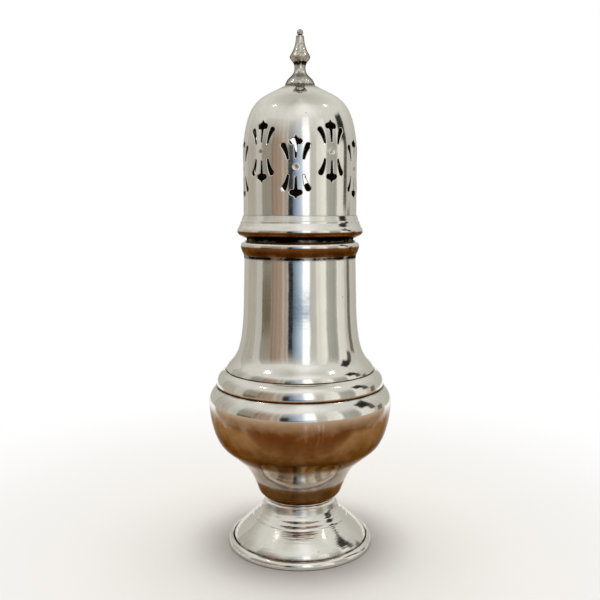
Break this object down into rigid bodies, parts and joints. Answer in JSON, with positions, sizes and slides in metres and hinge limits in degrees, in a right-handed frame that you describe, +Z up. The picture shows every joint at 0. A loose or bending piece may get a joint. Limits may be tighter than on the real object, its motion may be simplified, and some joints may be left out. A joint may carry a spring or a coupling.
{
  "type": "sugar caster",
  "caption": "Baluster-shaped silver sugar caster on a spread foot, with mouldings, a cast finial and a pierced domed cover that lifts off and turns for filling and sprinkling.",
  "frame": {"origin": "centre of the face the foot rim stands on", "axes": "+Z up along the axis of the caster, -Y towards the viewer of the picture, +X to the viewer's right"},
  "size_m": [0.0665, 0.0664, 0.185],
  "materials": {
    "polished_silver": "polished",
    "worn_silver": "satin",
    "cast_silver": "cast, tarnished in the hollows",
    "brass_fixing": "turned"
  },
  "bodies": {
    "body": {"foot": "polished_silver", "foot_rim": "polished_silver", "waist_ring": "polished_silver", "bowl": "polished_silver", "shoulder_ring": "polished_silver", "neck": "polished_silver", "neck_ring": "polished_silver", "neck_bezel": "worn_silver"},
    "sleeve": {"cover_sleeve": "worn_silver"},
    "cover": {"cover_rim": "polished_silver", "dome": "polished_silver", "finial": "cast_silver", "finial_stud": "brass_fixing", "finial_washer": "worn_silver", "finial_nut": "brass_fixing"}
  },
  "joints": [
    {"name": "cover_lift", "type": "slide", "parent": "body", "child": "sleeve", "axis": [0, 0, 1], "range_m": [0, 0.05]},
    {"name": "cover_turn", "type": "hinge", "parent": "sleeve", "child": "cover", "pos_m": [0, 0, 0.1127], "axis": [0, 0, 1], "continuous": true}
  ]
}
